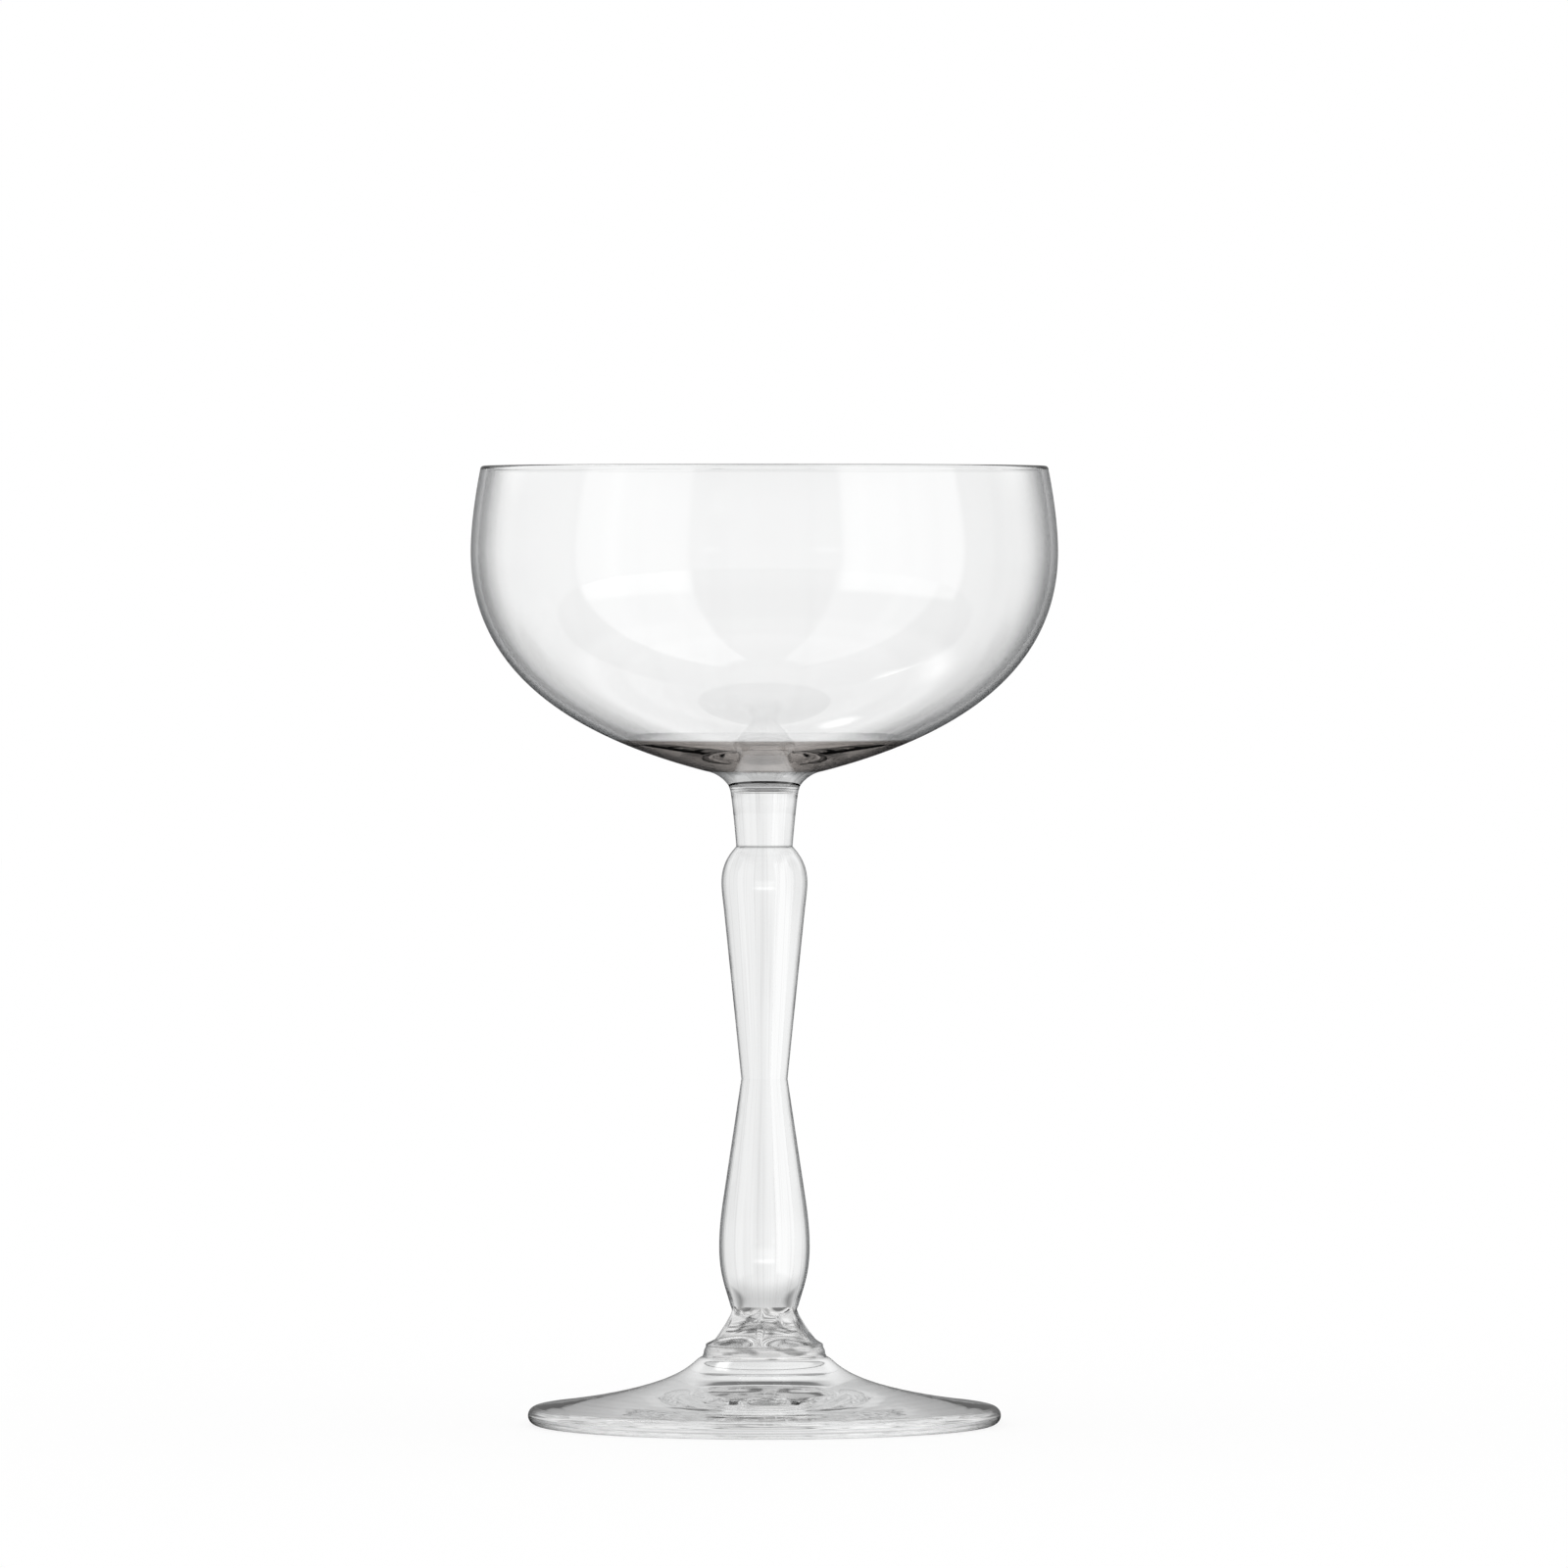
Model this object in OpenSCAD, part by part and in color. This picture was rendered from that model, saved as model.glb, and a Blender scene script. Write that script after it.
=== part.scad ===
// Coupe glass on an inverted-baluster stem with a fluted skirt and a round foot.
// Every section stands on the one below it, flat on flat, on the vertical axis.
// Origin: centre of the plane that the foot rests on. Units: millimetres.

/* [Bowl] */
// Height of the bowl, from its flat seat on the collar to the top of the rim
bowl_h = 51; // [42:0.5:64]
// Outer diameter of the bowl at its widest
bowl_d = 98; // [84:0.5:112]
// Height from the widest place up to the top of the rim
rim_rise = 14.3; // [8:0.1:18]
// Outer diameter just under the rounded rim
rim_d = 94.8; // [86:0.2:108]
// Diameter of the flat seat under the bowl, and of the collar's top
bowl_seat_d = 19; // [14:0.2:24]
// Thickness of the bowl's side wall and of its rounded rim
bowl_wall = 1.2; // [0.8:0.1:1.8]
// Thickness of the solid bottom, from the seat to the flat inner floor
floor_t = 5.6; // [3:0.1:8]

/* [Collar under the bowl] */
// Height of the flared collar
collar_h = 2.9; // [2:0.1:5]

/* [Neck] */
// Height of the neck
neck_h = 9.6; // [5:0.1:20]
// Diameter at the top of the neck, where the collar ends
neck_top_d = 11.6; // [9:0.1:13.5]
// Diameter at the foot of the neck, where the shoulder starts
neck_low_d = 9.4; // [7:0.1:12]

/* [Upper baluster] */
// Height of the upper baluster, from the waist to the foot of the neck
upper_h = 38.8; // [25:0.1:60]
// Height of its rounded shoulder, from the straight taper up to the neck
shoulder_h = 11; // [7:0.1:15]
// Diameter where the rounded shoulder runs into the taper
shoulder_d = 13.4; // [12:0.1:18]
// Diameter of the waist, where the two balusters meet
waist_d = 7.7; // [6:0.1:11]

/* [Lower baluster] */
// Height of the lower baluster, from the skirt to the waist
lower_h = 37.95; // [25:0.05:60]
// Height of its rounded belly, from the skirt up to the straight taper
belly_h = 18; // [12:0.1:22]
// Diameter where the taper runs into the rounded belly
belly_d = 13.7; // [12.5:0.1:18]

/* [Fluted skirt] */
// Height of the skirt
skirt_h = 6.35; // [4:0.05:12]
// Diameter at the top of the skirt, where the belly ends
skirt_top_d = 11.3; // [9:0.1:12]
// Diameter at the bottom of the skirt, and at the top of the ring
skirt_d = 19.5; // [15:0.1:24]
// Number of flutes round the skirt
flute_count = 6; // [5:1:10]
// Angle of the first ridge between flutes, from straight ahead of the glass
ridge_turn = -5.5; // [-30:0.5:30]

/* [Ring] */
// Height of the plain ring between the skirt and the foot
ring_h = 2.1; // [1:0.1:4]
// Diameter at the bottom of the ring, where the foot starts
ring_d = 20.8; // [16:0.1:26]

/* [Foot] */
// Height of the foot, from the resting plane to the ring
foot_h = 11.3; // [6:0.1:18]
// Outer diameter of the foot
foot_d = 79; // [60:0.5:95]
// Thickness of the foot's rounded edge
foot_edge_t = 2.96; // [2:0.02:4.5]
// Width of the flat band that the foot rests on
rest_w = 3; // [1.5:0.1:6]
// Height of the shallow hollow under the foot
hollow_h = 1; // [0.4:0.1:1.8]

/* [Hidden] */
$fn = 120;

// Clear glass, and the slightly greyer look of its thick pieces
thin_glass = [0.90, 0.93, 0.94, 0.45];
thick_glass = [0.82, 0.85, 0.87, 0.60];

// Heights where the sections meet
ring_z = foot_h;
skirt_z = ring_z + ring_h;
lower_z = skirt_z + skirt_h;
waist_z = lower_z + lower_h;
neck_z = waist_z + upper_h;
collar_z = neck_z + neck_h;
seat_z = collar_z + collar_h;
rim_z = seat_z + bowl_h;

// Heights inside the sections: where the belly and the shoulder run into the straight
// tapers, where the bowl is widest, and its inner floor
belly_z = lower_z + belly_h;
shoulder_z = neck_z - shoulder_h;
bowl_wide_z = rim_z - rim_rise;
floor_z = seat_z + floor_t;

// Bends of each stretch: how far the handle at its start, and then at its end,
// reaches across the box of that stretch, sideways and upright
rim_start_share = [0.05, 0.03];
rim_end_share = [0, 0.43];
bowl_start_share = [0, 0.49];
bowl_end_share = [0.655, 0.18];
collar_start_share = [0.5, 0.1];
collar_end_share = [0.02, 0.3];
neck_start_share = [0.26, 0];
neck_end_share = [0, 0.05];
shoulder_start_share = [1.694, 0.334];
belly_start_share = [1.085, 0.256];
skirt_start_share = [0.2, 0.48];
skirt_end_share = [0, 0.05];
foot_start_share = [0.08, 0.09];
foot_end_share = [0.94, 0.4];
hollow_start_share = [0.35, 0.6];
hollow_end_share = [0.5, 0];

// Reach of the handle that lies on a straight taper, as a share of the rounded stretch's length
shoulder_reach_share = 0.391;
belly_reach_share = 0.608;

// Depth of a flute at its deepest, as a share of the skirt's radius there
flute_share = 0.17;
// Part of the skirt's height over which a flute deepens from nothing, at each end
flute_end_share = 0.3;

// Steps along a long, a middling and a short stretch, and round a rounded edge
long_steps = 28;
mid_steps = 16;
short_steps = 10;
edge_steps = 12;
// Steps across one flute
flute_steps = 10;

// Points of a curve from p to q with its handles at a and b
function curve(p, a, b, q, steps) =
    [for (i = [0:steps])
        let (t = i / steps, u = 1 - t)
        u * u * u * p + 3 * u * u * t * a + 3 * u * t * t * b + t * t * t * q];

// A handle for a stretch that starts at p and runs to q: shares of the box between them
function handle(p, q, share) = p + [share.x * (q.x - p.x), share.y * (q.y - p.y)];

// A smooth stretch from p to q, with both handles given as shares of its box
function bend(p, q, start_share, end_share, steps) =
    curve(p, handle(p, q, start_share), handle(q, p, end_share), q, steps);

// A smooth stretch from p to q that runs into the straight line from q to the point beyond
function follow(p, q, beyond, start_share, reach_share, steps) =
    let (b = q - reach_share * norm(q - p) * (beyond - q) / norm(beyond - q))
    curve(p, handle(p, q, start_share), b, q, steps);

// Points of an arc about centre c, from angle a to angle b
function arc(c, r, a, b, steps) =
    [for (i = [0:steps]) c + r * [cos(a + (b - a) * i / steps), sin(a + (b - a) * i / steps)]];

// The same points without the first one, for a stretch that follows another
function after_first(points) = [for (i = [1:len(points) - 1]) points[i]];

// The same points in the other order
function reversed(points) = [for (i = [len(points) - 1:-1:0]) points[i]];

// An outline that runs down the outside, moved inwards by a wall: each point goes
// square to the line between its two neighbours
function inside(points, wall) =
    let (last = len(points) - 1)
    [for (i = [0:last])
        let (way = points[min(i + 1, last)] - points[max(i - 1, 0)])
        points[i] + wall * [way.y, -way.x] / norm(way)];

// The part of a falling outline above the height low, down to where it reaches that height
function down_to(points, low) =
    let (
        above = [for (p = points) if (p.y > low) p],
        p = above[len(above) - 1],
        q = points[len(above)]
    )
    concat(above, [p + (q - p) * (p.y - low) / (p.y - q.y)]);

// A solid of revolution closed on the axis, from an outline that runs downwards
module turned(outline) {
    rotate_extrude()
        polygon(concat([[0, outline[0].y]], outline, [[0, outline[len(outline) - 1].y]]));
}

module bowl() {
    lip_r = bowl_wall / 2;
    lip = [rim_d / 2 - lip_r, rim_z - lip_r];
    wide = [bowl_d / 2, bowl_wide_z];
    outer = concat(
        bend(lip + [lip_r, 0], wide, rim_start_share, rim_end_share, mid_steps),
        after_first(bend(wide, [bowl_seat_d / 2, seat_z], bowl_start_share, bowl_end_share, long_steps))
    );
    inner = down_to(after_first(inside(outer, bowl_wall)), floor_z);
    color(thin_glass) rotate_extrude() polygon(concat(
        [[0, seat_z], [0, floor_z]],
        reversed(inner),
        arc(lip, lip_r, 180, 0, edge_steps),
        after_first(outer)
    ));
}

module bowl_collar() {
    color(thick_glass)
        turned(bend([bowl_seat_d / 2, seat_z], [neck_top_d / 2, collar_z],
                    collar_start_share, collar_end_share, short_steps));
}

module stem_neck() {
    color(thick_glass)
        turned(bend([neck_top_d / 2, collar_z], [neck_low_d / 2, neck_z],
                    neck_start_share, neck_end_share, short_steps));
}

module upper_baluster() {
    waist = [waist_d / 2, waist_z];
    color(thick_glass) turned(concat(
        follow([neck_low_d / 2, neck_z], [shoulder_d / 2, shoulder_z], waist,
               shoulder_start_share, shoulder_reach_share, long_steps),
        [waist]
    ));
}

module lower_baluster() {
    waist = [waist_d / 2, waist_z];
    belly = follow([skirt_top_d / 2, lower_z], [belly_d / 2, belly_z], waist,
                   belly_start_share, belly_reach_share, long_steps);
    color(thick_glass) turned(concat([waist], reversed(belly)));
}

// How deep the flutes are at a share t of the skirt's height, from 0 to 1 and back to 0
function flute_fade(t) = sin(90 * min(1, t / flute_end_share, (1 - t) / flute_end_share));

// How far into its flute an angle lies: 0 on a ridge and 1 in the middle of a flute
function flute_hollow(angle) = abs(sin(flute_count * (angle - ridge_turn) / 2));

module fluted_skirt() {
    profile = bend([skirt_top_d / 2, lower_z], [skirt_d / 2, skirt_z],
                   skirt_start_share, skirt_end_share, short_steps);
    around = flute_count * flute_steps;
    // Angles count from straight ahead, which is -Y
    points = [for (p = profile, k = [0:around - 1])
        let (
            angle = ridge_turn + 360 * k / around,
            depth = flute_share * flute_fade((lower_z - p.y) / skirt_h) * flute_hollow(angle),
            r = p.x * (1 - depth)
        )
        [r * sin(angle), -r * cos(angle), p.y]];
    sides = [for (i = [0:short_steps - 1], k = [0:around - 1], half = [0, 1])
        let (
            a = i * around + k,
            b = i * around + (k + 1) % around
        )
        half == 0 ? [a, b, b + around] : [a, b + around, a + around]];
    top = [for (k = [around - 1:-1:0]) k];
    bottom = [for (k = [0:around - 1]) short_steps * around + k];
    color(thick_glass) polyhedron(points, concat([top], sides, [bottom]));
}

module ring_collar() {
    color(thick_glass) turned([[skirt_d / 2, skirt_z], [ring_d / 2, ring_z]]);
}

module foot() {
    edge_r = foot_edge_t / 2;
    edge = [foot_d / 2 - edge_r, edge_r];
    color(thick_glass) rotate_extrude() polygon(concat(
        [[0, foot_h]],
        bend([ring_d / 2, foot_h], edge + [0, edge_r], foot_start_share, foot_end_share, long_steps),
        after_first(arc(edge, edge_r, 90, -90, edge_steps)),
        bend([edge.x - rest_w, 0], [0, hollow_h], hollow_start_share, hollow_end_share, mid_steps)
    ));
}

foot();
ring_collar();
fluted_skirt();
lower_baluster();
upper_baluster();
stem_neck();
bowl_collar();
bowl();
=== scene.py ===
"""A clear stemmed coupe glass: smooth turned glass in place of the CAD sections, on a white studio floor.

Everything is in metres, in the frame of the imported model: +Z up the axis of the glass, the floor
at zero, the viewer on the -Y side.
"""

import math

import bpy
import numpy as np
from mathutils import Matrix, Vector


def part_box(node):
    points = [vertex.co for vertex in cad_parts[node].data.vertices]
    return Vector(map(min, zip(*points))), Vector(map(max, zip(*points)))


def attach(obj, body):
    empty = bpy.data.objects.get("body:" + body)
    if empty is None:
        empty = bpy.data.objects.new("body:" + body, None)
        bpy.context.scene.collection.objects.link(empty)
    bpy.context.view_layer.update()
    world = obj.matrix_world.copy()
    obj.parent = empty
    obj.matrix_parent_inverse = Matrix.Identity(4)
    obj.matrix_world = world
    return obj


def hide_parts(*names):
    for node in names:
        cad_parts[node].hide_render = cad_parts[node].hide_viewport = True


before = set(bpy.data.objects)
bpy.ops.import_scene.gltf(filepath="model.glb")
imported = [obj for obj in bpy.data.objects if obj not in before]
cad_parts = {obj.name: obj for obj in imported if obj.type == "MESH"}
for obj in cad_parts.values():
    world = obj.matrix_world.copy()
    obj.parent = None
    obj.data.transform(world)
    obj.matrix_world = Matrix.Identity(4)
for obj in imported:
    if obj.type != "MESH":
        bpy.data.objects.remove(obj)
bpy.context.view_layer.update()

bl_info = {
    "name": "Coupe glass",
    "version": (1, 0, 0),
    "blender": (4, 5, 0),
    "location": "3D View > Sidebar > Coupe",
    "description": "Builds a clear stemmed coupe glass and its studio",
    "category": "Add Mesh",
}

# Measured on the photograph: the pixel column of the axis, the row of the floor under the axis,
# the row of the horizon, the side of the square frame, and the bowl's width at its widest
AXIS_PX = 780.0
FLOOR_PX = 1453.7
HORIZON_PX = 575.0
FRAME_PX = 1600.0
BOWL_PX = 599.2


def base_z(node):
    """Height of the lowest point of a CAD section."""
    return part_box(node)[0][2]


def top_z(node):
    """Height of the highest point of a CAD section."""
    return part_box(node)[1][2]


class GlassSizes(bpy.types.PropertyGroup):
    """Sizes of the glass that the boxes of the CAD sections don't give."""

    def length(name, description, default):
        return bpy.props.FloatProperty(
            name=name, description=description, default=default, min=0.0, unit="LENGTH", precision=5
        )

    def share(name, description, default):
        return bpy.props.FloatProperty(
            name=name, description=description, default=default, min=0.0, max=0.5, subtype="FACTOR"
        )

    def angle(name, description, degrees):
        return bpy.props.FloatProperty(
            name=name, description=description, default=math.radians(degrees),
            subtype="ANGLE", unit="ROTATION",
        )

    bowl_wall: length("Bowl wall", "Thickness of the side wall and the rim", 0.0012)
    rim_d: length("Rim diameter", "Outer diameter just under the rounded rim", 0.0948)
    rim_rise: length("Rim rise", "Height from the widest place to the rim", 0.0143)
    floor_t: length("Floor thickness", "Thickness of the solid bottom", 0.0056)
    bowl_seat_d: length("Bowl seat", "Diameter where the bowl meets the collar", 0.019)
    neck_top_d: length("Neck top", "Diameter where the collar meets the neck", 0.0116)
    neck_low_d: length("Neck foot", "Diameter where the neck meets the shoulder", 0.0094)
    shoulder_d: length("Shoulder", "Diameter where the rounded shoulder runs into the taper", 0.0134)
    shoulder_h: length("Shoulder height", "Height of the rounded shoulder, from taper to neck", 0.011)
    waist_d: length("Waist", "Diameter where the two balusters meet", 0.0077)
    belly_d: length("Belly", "Diameter where the taper runs into the rounded belly", 0.0137)
    belly_h: length("Belly height", "Height of the rounded belly, from the skirt to the taper", 0.018)
    skirt_top_d: length("Skirt top", "Diameter where the belly meets the skirt", 0.0113)
    skirt_d: length("Skirt", "Diameter where the skirt meets the ring", 0.0195)
    flute_count: bpy.props.IntProperty(
        name="Flutes", description="Number of flutes round the skirt", default=6, min=3
    )
    flute_depth: share("Flute depth", "Depth of a flute, as a share of the skirt's radius there", 0.17)
    flute_end: share("Flute end", "Share of the skirt's height in which a flute deepens, at each end", 0.3)
    ridge_turn: angle("Ridge turn", "Angle of the first ridge from straight ahead", -5.5)
    rib_turn: angle("Rib", "Half the width of the ridges between the flutes, as an angle", 6.0)
    ring_d: length("Ring", "Diameter where the ring meets the foot", 0.0208)
    reed_count: bpy.props.IntProperty(
        name="Reeds", description="Number of grooves round the ring", default=2, min=0
    )
    reed_depth: length("Reed depth", "Depth of the grooves round the ring", 0.00008)
    foot_d: length("Foot", "Outer diameter of the foot", 0.079)
    foot_edge_t: length("Foot edge", "Thickness of the rounded edge of the foot", 0.00296)
    rest_w: length("Rest band", "Width of the flat band that the foot rests on", 0.003)
    hollow_h: length("Hollow", "Height of the hollow under the foot", 0.001)
    turning_h: length("Turning mark height", "Half the depth of the marks on top of the foot", 0.000006)
    turning_w: length("Turning mark width", "Distance from one mark on top of the foot to the next", 0.0023)
    turning_from: length("Turning marks from", "Radius where the marks begin", 0.012)
    turning_to: length("Turning marks to", "Radius where the marks end", 0.0365)
    turning_fade: length("Turning mark fade", "Distance over which the marks fade at both ends", 0.004)


class GlassLook(bpy.types.PropertyGroup):
    """Colour and finish of the glass, with the painted shade on its edges, on the bowl's base, at the seam
    and on skirt and ring.
    """

    def colour(name, description, default):
        return bpy.props.FloatVectorProperty(
            name=name, description=description, subtype="COLOR", size=3, min=0.0, max=1.0, default=default
        )

    thin_tint: colour("Thin glass", "Colour of the bowl, seen square on", (0.995, 0.997, 0.997))
    # Edge colours: mostly painted shade for the dark edges of the glass, partly the longer path of light
    # through the wall
    thin_edge_shade: colour("Thin glass, edge on", "Colour of the bowl, seen edge on", (0.10, 0.105, 0.11))
    # The bowl base's colour is painted shade, laid on the solid bottom where it is seen at a slant
    base_painted_shade: colour("Bowl base", "Colour of the solid bottom of the bowl", (0.14, 0.118, 0.105))
    thick_tint: colour("Thick glass", "Colour of the stem and foot, seen square on", (0.985, 0.99, 0.99))
    # The grey of skirt and ring is painted shade, darker than the glass itself
    pressed_shade_tint: colour("Pressed glass", "Colour of skirt and ring, seen square on", (0.87, 0.865, 0.86))
    # Painted shade for the dark edges of stem and foot, partly the longer path of light through the glass
    thick_edge_shade: colour("Thick glass, edge on", "Colour of stem and foot, seen edge on", (0.13, 0.135, 0.14))
    # Painted shade in the crease between neck and shoulder
    seam_shade_tint: colour("Seam", "Shade of the seam between neck and shoulder", (0.35, 0.35, 0.35))
    shadow_tint: colour("Shadow", "Colour of light that passes into the shadow", (0.9, 0.9, 0.9))
    seam_h: bpy.props.FloatProperty(
        name="Seam height", description="Height of the seam between the neck and the shoulder",
        default=0.0008, min=0.0, unit="LENGTH", precision=5,
    )
    index: bpy.props.FloatProperty(
        name="Refractive index", description="Of soda lime glass", default=1.51, min=1.0, max=2.0
    )


class StudioLook(bpy.types.PropertyGroup):
    """Floor, backdrop and light."""

    floor_light: bpy.props.FloatProperty(
        name="Floor light", description="Share of the floor's white that comes from the lamps",
        default=0.25, min=0.0, max=1.0, subtype="FACTOR",
    )
    floor_w: bpy.props.FloatProperty(
        name="Floor width", description="Side of the square floor", default=8.0, min=0.0, unit="LENGTH",
    )
    camera_away: bpy.props.FloatProperty(
        name="Camera distance", description="Level distance from the axis of the glass to the camera",
        default=2.132, min=0.5, unit="LENGTH", precision=3,
    )


# Curves and surfaces


def cubic(p, a, b, q, steps):
    """Points of the cubic curve from p to q with the handles a and b."""
    t = np.linspace(0.0, 1.0, steps + 1)[:, None]
    u = 1.0 - t
    return u**3 * p + 3 * u**2 * t * a + 3 * u * t**2 * b + t**3 * q


def bend(p, q, start_share, end_share, steps):
    """Points of a cubic curve from p to q; each handle reaches the given shares of the box from p to q."""
    p, q = np.array(p, float), np.array(q, float)
    a = p + np.array(start_share) * (q - p)
    b = q - np.array(end_share) * (q - p)
    return cubic(p, a, b, q, steps)


def follow(p, q, beyond, start_share, reach, steps):
    """Points of a cubic curve from p to q that runs into the straight line from q to the point beyond.

    The handle at p reaches the given shares of the box from p to q. The handle at q lies on the
    line, reach times as long as the distance from p to q."""
    p, q, beyond = np.array(p, float), np.array(q, float), np.array(beyond, float)
    a = p + np.array(start_share) * (q - p)
    b = q - reach * np.linalg.norm(q - p) * (beyond - q) / np.linalg.norm(beyond - q)
    return cubic(p, a, b, q, steps)


def line(p, q, steps):
    """Points of a straight line from p to q."""
    t = np.linspace(0.0, 1.0, steps + 1)[:, None]
    return (1.0 - t) * np.array(p, float) + t * np.array(q, float)


def arc(centre, radius, start, end, steps):
    """Points of a circle's arc, with angles in degrees from the outward direction, turning upwards."""
    a = np.radians(np.linspace(start, end, steps + 1))
    return np.array(centre) + radius * np.stack([np.cos(a), np.sin(a)], axis=1)


def inside(points, wall):
    """An outline that runs down the outside, moved inwards by the wall: each point goes square to the
    line between its two neighbours."""
    way = np.vstack([points[1:], points[-1:]]) - np.vstack([points[:1], points[:-1]])
    way /= np.linalg.norm(way, axis=1)[:, None]
    return points + wall * np.stack([way[:, 1], -way[:, 0]], axis=1)


def down_to(points, low):
    """The part of a falling outline above the height low, with the point where it reaches that height."""
    n = np.argmax(points[:, 1] <= low)
    p, q = points[n - 1], points[n]
    return np.vstack([points[:n], p + (q - p) * (p[1] - low) / (p[1] - q[1])])


def chain(*stretches):
    """Joins stretches that share their end points into one outline."""
    return np.vstack([stretches[0]] + [s[1:] for s in stretches[1:]])


# How close to a crease its extra point lies, as a share of the first step of the outline
CREASE_SHARE = 0.01


def crisp(outline, start=True, end=True):
    """The outline with one more point close to an end, so that a crease there stays sharp when shaded."""
    first = outline[:1] + CREASE_SHARE * (outline[1:2] - outline[:1])
    last = outline[-1:] + CREASE_SHARE * (outline[-2:-1] - outline[-1:])
    middle = [*([first] if start else []), outline[1:-1], *([last] if end else [])]
    return np.vstack([outline[:1], *middle, outline[-1:]])


def fade(value, low, high, soft):
    """1 between two places, falling to 0 at each of them over the distance soft."""
    return np.clip((value - low) / soft, 0.0, 1.0) * np.clip((high - value) / soft, 0.0, 1.0)


def angles(around):
    """Angles round the axis, counted from straight ahead of the glass."""
    return np.arange(around) * (2.0 * np.pi / around)


def swept(outline, around):
    """Radius and height on a grid: each point of the outline carried round the axis."""
    return np.repeat(outline[:, :1], around, axis=1), np.repeat(outline[:, 1:], around, axis=1)


def glass_mesh(name, r, z, top_weld, bottom_weld):
    """A closed mesh from radii and heights on a grid of rows and angles, rows running down the outside.

    A point is (r sin a, -r cos a, z). The first and the last row close on the axis, each with
    one point and a fan of triangles. An end that is welded to the next section is flat, and its
    fan has the second material."""
    rows, around = r.shape
    a = angles(around)[None, :]
    grid = np.stack([r * np.sin(a), -r * np.cos(a), z], axis=2).reshape(-1, 3)
    poles = np.array([[0.0, 0.0, z[0].mean()], [0.0, 0.0, z[-1].mean()]])
    points = np.vstack([grid, poles])

    i = np.arange(rows - 1)[:, None] * around
    k = np.arange(around)[None, :]
    n = (k + 1) % around
    quads = np.stack([i + k, i + around + k, i + around + n, i + n], axis=2).reshape(-1, 4)
    k, n = k[0], n[0]
    first, last = rows * around, rows * around + 1
    low = (rows - 1) * around
    top = np.stack([np.full(around, first), k, n], axis=1)
    bottom = np.stack([low + n, low + k, np.full(around, last)], axis=1)

    corners = np.concatenate([quads.ravel(), top.ravel(), bottom.ravel()])
    sides = np.concatenate([np.full(len(quads), 4), np.full(2 * around, 3)])
    starts = np.concatenate([[0], np.cumsum(sides)[:-1]])
    mesh = bpy.data.meshes.new(name)
    mesh.vertices.add(len(points))
    mesh.vertices.foreach_set("co", points.ravel())
    mesh.loops.add(len(corners))
    mesh.loops.foreach_set("vertex_index", corners)
    mesh.polygons.add(len(sides))
    mesh.polygons.foreach_set("loop_start", starts)
    mesh.polygons.foreach_set("loop_total", sides)
    slots = np.zeros(len(sides), int)
    smooth = np.ones(len(sides), bool)
    top_fan = slice(len(quads), len(quads) + around)
    bottom_fan = slice(len(quads) + around, None)
    for welded, fan in ((top_weld, top_fan), (bottom_weld, bottom_fan)):
        if welded:
            slots[fan] = 1
            smooth[fan] = False
    mesh.polygons.foreach_set("material_index", slots)
    mesh.polygons.foreach_set("use_smooth", smooth)
    mesh.update(calc_edges=True)
    mesh.validate()
    return mesh


def place(name, mesh, node, material):
    """Shows a mesh in place of a CAD section, riding on the glass."""
    piece = bpy.data.objects.new(name, mesh)
    bpy.context.scene.collection.objects.link(piece)
    mesh.materials.append(material)
    mesh.materials.append(weld_material())
    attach(piece, "root")
    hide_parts(node)


# Materials


def feed(links, value, socket):
    """Gives a socket its value: a number, or what another socket puts out."""
    if isinstance(value, (int, float)):
        socket.default_value = value
    else:
        links.new(value, socket)


def sums(nodes, links, kind, *values):
    """A Math node on numbers or sockets."""
    node = nodes.new("ShaderNodeMath")
    node.operation = kind
    for socket, value in zip(node.inputs, values):
        feed(links, value, socket)
    return node.outputs[0]


def ramp(nodes, links, value, start, end):
    """Rises smoothly from 0 to 1 while the value goes from start to end."""
    node = nodes.new("ShaderNodeMapRange")
    node.interpolation_type = "SMOOTHSTEP"
    feed(links, value, node.inputs["Value"])
    feed(links, start, node.inputs["From Min"])
    feed(links, end, node.inputs["From Max"])
    return node.outputs[0]


def below(nodes, links, high, low):
    """A mask that rises smoothly from 0 at the height high to 1 at the height low."""
    split = nodes.new("ShaderNodeSeparateXYZ")
    links.new(nodes.new("ShaderNodeTexCoord").outputs["Object"], split.inputs[0])
    return ramp(nodes, links, split.outputs["Z"], high, low)


def shaded(nodes, links, colour, mask, shade):
    """A colour, multiplied by a shade where the mask is 1."""
    mix = nodes.new("ShaderNodeMix")
    mix.data_type, mix.blend_type = "RGBA", "MULTIPLY"
    links.new(mask, mix.inputs["Factor"])
    links.new(colour, mix.inputs["A"])
    mix.inputs["B"].default_value = (*shade, 1.0)
    return mix.outputs["Result"]


def sockets_in(group, names):
    """Adds number inputs to a node group."""
    for name in names:
        group.interface.new_socket(name, in_out="INPUT", socket_type="NodeSocketFloat")


def weld_material():
    """Fused joint between two sections: nothing of it shows."""
    found = bpy.data.materials.get("fused_weld")
    if found:
        return found
    m = bpy.data.materials.new("fused_weld")
    m.use_nodes = True
    m.node_tree.nodes["Principled BSDF"].inputs["Alpha"].default_value = 0.0
    return m


STREAK_INPUTS = ("Around", "Along", "Across", "Detail", "Warp")


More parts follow.
